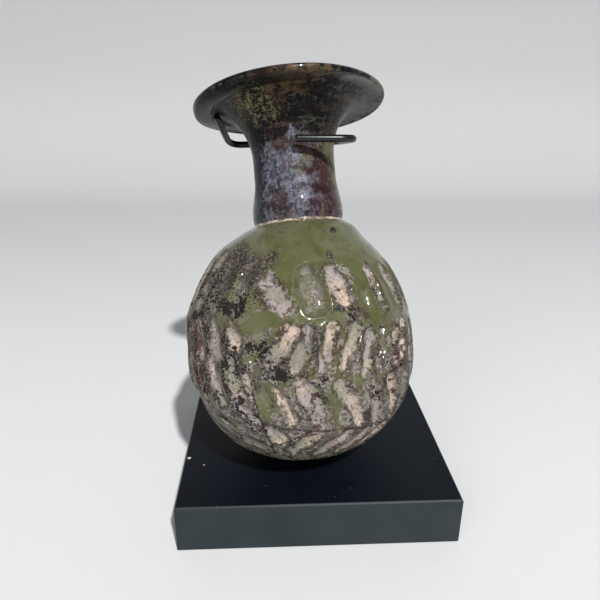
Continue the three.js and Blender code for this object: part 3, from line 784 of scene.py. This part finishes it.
# Wire cradle in millimetres: the bent fork's corners run from the hook's end round to the prong's end,
# and a rounded end has shares of the radius, along the wire and across it
cradle = {
    "corners": [(-5.586, -3.804, 103.369), (10.065, -3.804, 103.369), (10.065, 27.7, 99.648),
                (-24.694, 27.7, 98.431), (-27.294, 13.575, 107.734)],
    "wireRadius": 0.99,
    "bend": 4.5,
    "bendSteps": 13,
    "roundedEnd": [(0.0, 0.62), (0.12, 0.86), (0.32, 0.97), (0.6, 1.0)],
    "postPlace": (-7.315, 29.5),
    "postRadius": 1.19,
    "postHeights": [6.6, 14.3, 16, 40, 70, 90, 95, 97, 98, 98.6, 99.5],
    "sides": 24,
}


def forkPath():
    corners = [Vector(corner) for corner in cradle["corners"]]
    path = [corners[0]]
    for before, corner, after in zip(corners, corners[1:], corners[2:]):
        back, on = (before - corner).normalized(), (after - corner).normalized()
        reach = cradle["bend"] / math.tan(back.angle(on) / 2)
        entry, leaving = corner + back * reach, corner + on * reach
        for share in np.linspace(0, 1, cradle["bendSteps"]):
            path.append(entry * (1 - share) ** 2 + corner * 2 * share * (1 - share) + leaving * share ** 2)
    return path + [corners[-1]]


def roundEnded(path, radius):  # the path's points with their radii, slightly rounded at each end
    ends = cradle["roundedEnd"]
    ahead, behind = (path[1] - path[0]).normalized(), (path[-2] - path[-1]).normalized()
    full = [path[0] + ahead * radius * along for along, _ in ends] + path[1:-1]
    full += [path[-1] + behind * radius * along for along, _ in reversed(ends)]
    shares = [wide for _, wide in ends] + [1.0] * (len(path) - 2) + [wide for _, wide in reversed(ends)]
    return full, [radius * share for share in shares]


# Sweeps a round section along the edges it gets, as wide at each point as its attribute thick says
def wireTree():
    tree = bpy.data.node_groups.new("wire along a path", "GeometryNodeTree")
    tree.interface.new_socket("Geometry", in_out="INPUT", socket_type="NodeSocketGeometry")
    sides = tree.interface.new_socket("Sides", in_out="INPUT", socket_type="NodeSocketInt")
    paint = tree.interface.new_socket("Paint", in_out="INPUT", socket_type="NodeSocketMaterial")
    tree.interface.new_socket("Geometry", in_out="OUTPUT", socket_type="NodeSocketGeometry")
    g = Shade(tree)
    given = g.node("NodeGroupInput").outputs
    curve = g.node("GeometryNodeMeshToCurve", None, Mesh=g.wrap(given["Geometry"]))
    thick = g.node("GeometryNodeInputNamedAttribute", {"data_type": "FLOAT"}, Name="thick")
    section = g.node("GeometryNodeCurvePrimitiveCircle", None, Resolution=g.wrap(given["Sides"]),
                     Radius=1.0)
    swept = g.node("GeometryNodeCurveToMesh", None, Curve=g.wrap(curve.outputs["Curve"]), Fill_Caps=True,
                   Profile_Curve=g.wrap(section.outputs["Curve"]), Scale=g.wrap(thick.outputs["Attribute"]))
    whole = g.node("GeometryNodeRealizeInstances", None, Geometry=g.wrap(swept.outputs["Mesh"]))
    painted = g.node("GeometryNodeSetMaterial", None, Geometry=g.wrap(whole.outputs["Geometry"]),
                     Material=g.wrap(given["Paint"]))
    g.node("NodeGroupOutput", None, Geometry=g.wrap(painted.outputs["Geometry"]))
    return tree, sides.identifier, paint.identifier


def makeCradle():
    x, y = cradle["postPlace"]
    post = [Vector((x, y, z)) for z in cradle["postHeights"]]
    points, edges, thick = [], [], []
    for path, radius in ((forkPath(), cradle["wireRadius"]), (post, cradle["postRadius"])):
        full, radii = roundEnded(path, radius)
        edges += [(len(points) + i, len(points) + i + 1) for i in range(len(full) - 1)]
        points += [point * mm for point in full]
        thick += [wide * mm for wide in radii]
    lines = bpy.data.meshes.new("cradle lines")
    lines.from_pydata(points, edges, [])
    guide = bpy.data.objects.new("cradle lines", lines)
    scene.collection.objects.link(guide)
    paint(guide, "thick", np.array(thick))
    tree, sides, material = wireTree()
    modifier = guide.modifiers.new("wire", "NODES")
    modifier.node_group = tree
    modifier[sides] = cradle["sides"]
    modifier[material] = wireMaterial()
    graph = bpy.context.evaluated_depsgraph_get()
    mesh = bpy.data.meshes.new_from_object(guide.evaluated_get(graph))
    bpy.data.objects.remove(guide)
    bpy.data.node_groups.remove(tree)
    mend = bmesh.new()
    mend.from_mesh(mesh)
    bmesh.ops.recalc_face_normals(mend, faces=mend.faces)
    mend.to_mesh(mesh)
    mend.free()
    mesh.polygons.foreach_set("use_smooth", [len(face.vertices) == 4 for face in mesh.polygons])
    piece = bpy.data.objects.new("cradle", mesh)
    scene.collection.objects.link(piece)
    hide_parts("wire_cradle")
    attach(piece, "root")
    print("cradle made,", len(mesh.polygons), "faces")


def wireMaterial():
    material, s = newMaterial("black wire paint")
    place = s.objectPlace()
    grain = s.noise(place, 1500.0, 3.0, 0.6)
    rubbed = s.noise(place, 240.0, 4.0, 0.6).step(0.66, 0.76)
    colour = s.mix(rubbed * 0.4, srgb(17, 19, 22), srgb(74, 72, 70))
    finishMaterial(s, s.surface(Base_Color=colour, Roughness=0.24 + grain * 0.16, IOR=1.5,
                                Normal=s.bump(grain, 0.2, 0.0001)))
    return material


makeCradle()


# The block keeps its shape and gets a satin black finish, its sides painted lighter than its top as painted
# light, with a little dust and two crumbs of dirt, each at an x and y and with its size, in millimetres
block = {
    "top": 14.25,
    "crumbs": [(-36.8, -17.1, 0.55), (-32.1, -20.5, 0.25)],
}


def blockMaterial():
    material, s = newMaterial("black block")
    place = s.objectPlace()
    cloud, grain = s.noise(place, 60.0, 4.0, 0.6), s.noise(place, 1800.0, 3.0, 0.6)
    dusty = s.cells(place, 260.0).step(0.05, 0.02) * s.noise(place, 45.0, 2.0).step(0.45, 0.6)
    rise = s.wrap(s.node("ShaderNodeSeparateXYZ", None, Vector=place).outputs["Z"])
    # painted light: the sides are painted lighter than the top, standing in for the pale floor's reflection
    # in them
    paintedLightSides = rise.step((block["top"] - 0.01) * mm, (block["top"] - 0.15) * mm)
    colour = s.mix(cloud.step(0.3, 0.7), srgb(7, 13, 20), srgb(11, 17, 26))
    colour = s.mix(paintedLightSides, colour, s.mix(cloud.step(0.3, 0.7), srgb(42, 49, 53), srgb(50, 57, 61)))
    colour = s.mix(dusty * 0.7, colour, srgb(150, 150, 150))
    for x, y, size in block["crumbs"]:
        away = s.wrap(s.node("ShaderNodeVectorMath", {"operation": "DISTANCE"}, _0=place,
                             _1=(x * mm, y * mm, block["top"] * mm)).outputs["Value"])
        crumb = (away + (grain - 0.5) * 0.8 * mm).step(size * 1.1 * mm, size * 0.8 * mm)
        colour = s.mix(crumb, colour, srgb(206, 198, 180))
    finishMaterial(s, s.surface(Base_Color=colour, Roughness=0.34 + cloud * 0.14 + grain * 0.1,
                                Specular_IOR_Level=0.14, Normal=s.bump(grain, 0.15, 0.0001)))
    return material


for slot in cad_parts["display_block"].material_slots:
    slot.material = blockMaterial()
print("block finished")


# Pale floor that sweeps up behind, and soft studio light, in metres and watts
studio = {
    "floorFront": -1.2,
    "floorHalfWidth": 1.6,
    "sweepAt": 0.42,
    "sweepRadius": 0.14,
    "sweepTop": 1.6,
    "keyPlace": (0.47, -1.6, 1.9),
    "keySize": 0.1,
    "keyPower": 70.0,
    "fillPlace": (-0.9, -1.1, 0.9),
    "fillSize": 0.9,
    "fillPower": 5.0,
    "skyColour": (0.9, 0.93, 0.97, 1),
    "skyStrength": 0.09,
    "lookAt": (0, 0, 0.05),
}


def makeStage():
    at, bend = studio["sweepAt"], studio["sweepRadius"]
    section = [(studio["floorFront"], 0.0), (at, 0.0)]
    for turn in np.linspace(0, math.pi / 2, 13)[1:]:
        section.append((at + bend * math.sin(turn), bend * (1 - math.cos(turn))))
    section.append((at + bend, studio["sweepTop"]))
    half = studio["floorHalfWidth"]
    points = [(x, y, z) for y, z in section for x in (-half, half)]
    faces = [(2 * i, 2 * i + 1, 2 * i + 3, 2 * i + 2) for i in range(len(section) - 1)]
    floor = meshPiece("floor_sweep", points, faces)
    material, s = newMaterial("pale floor")
    place = s.objectPlace()
    parts = s.node("ShaderNodeSeparateXYZ", None, Vector=place)
    back, rise = s.wrap(parts.outputs["Y"]), s.wrap(parts.outputs["Z"])
    # painted shade: the floor is painted darker towards the back, and darker again up the wall
    colour = s.mix(back.step(-0.15, 0.4), srgb(229, 229, 229), srgb(202, 202, 203))
    colour = s.mix(rise.step(0.05, 0.42), colour, srgb(164, 170, 170))
    colour = s.mix(s.noise(place, 1600.0, 2.0, 0.5) * 0.12, colour, srgb(140, 140, 140))
    finishMaterial(s, s.surface(Base_Color=colour, Roughness=0.9))
    floor.data.materials.append(material)


def areaLight(name):
    data = bpy.data.lights.new(name, "AREA")
    data.shape = "DISK"
    data.size = studio[name + "Size"]
    data.energy = studio[name + "Power"]
    lamp = bpy.data.objects.new(name, data)
    scene.collection.objects.link(lamp)
    lamp.location = Vector(studio[name + "Place"])
    ahead = Vector(studio["lookAt"]) - lamp.location
    lamp.rotation_euler = ahead.to_track_quat("-Z", "Y").to_euler()
    lamp.visible_glossy = name == "key"  # only the key light glints in the glass


makeStage()
for name in ("key", "fill"):
    areaLight(name)
world = bpy.data.worlds.new("studio")
scene.world = world
world.use_nodes = True
sky = world.node_tree.nodes["Background"].inputs
sky["Color"].default_value = studio["skyColour"]
sky["Strength"].default_value = studio["skyStrength"]
print("stage and lights done")
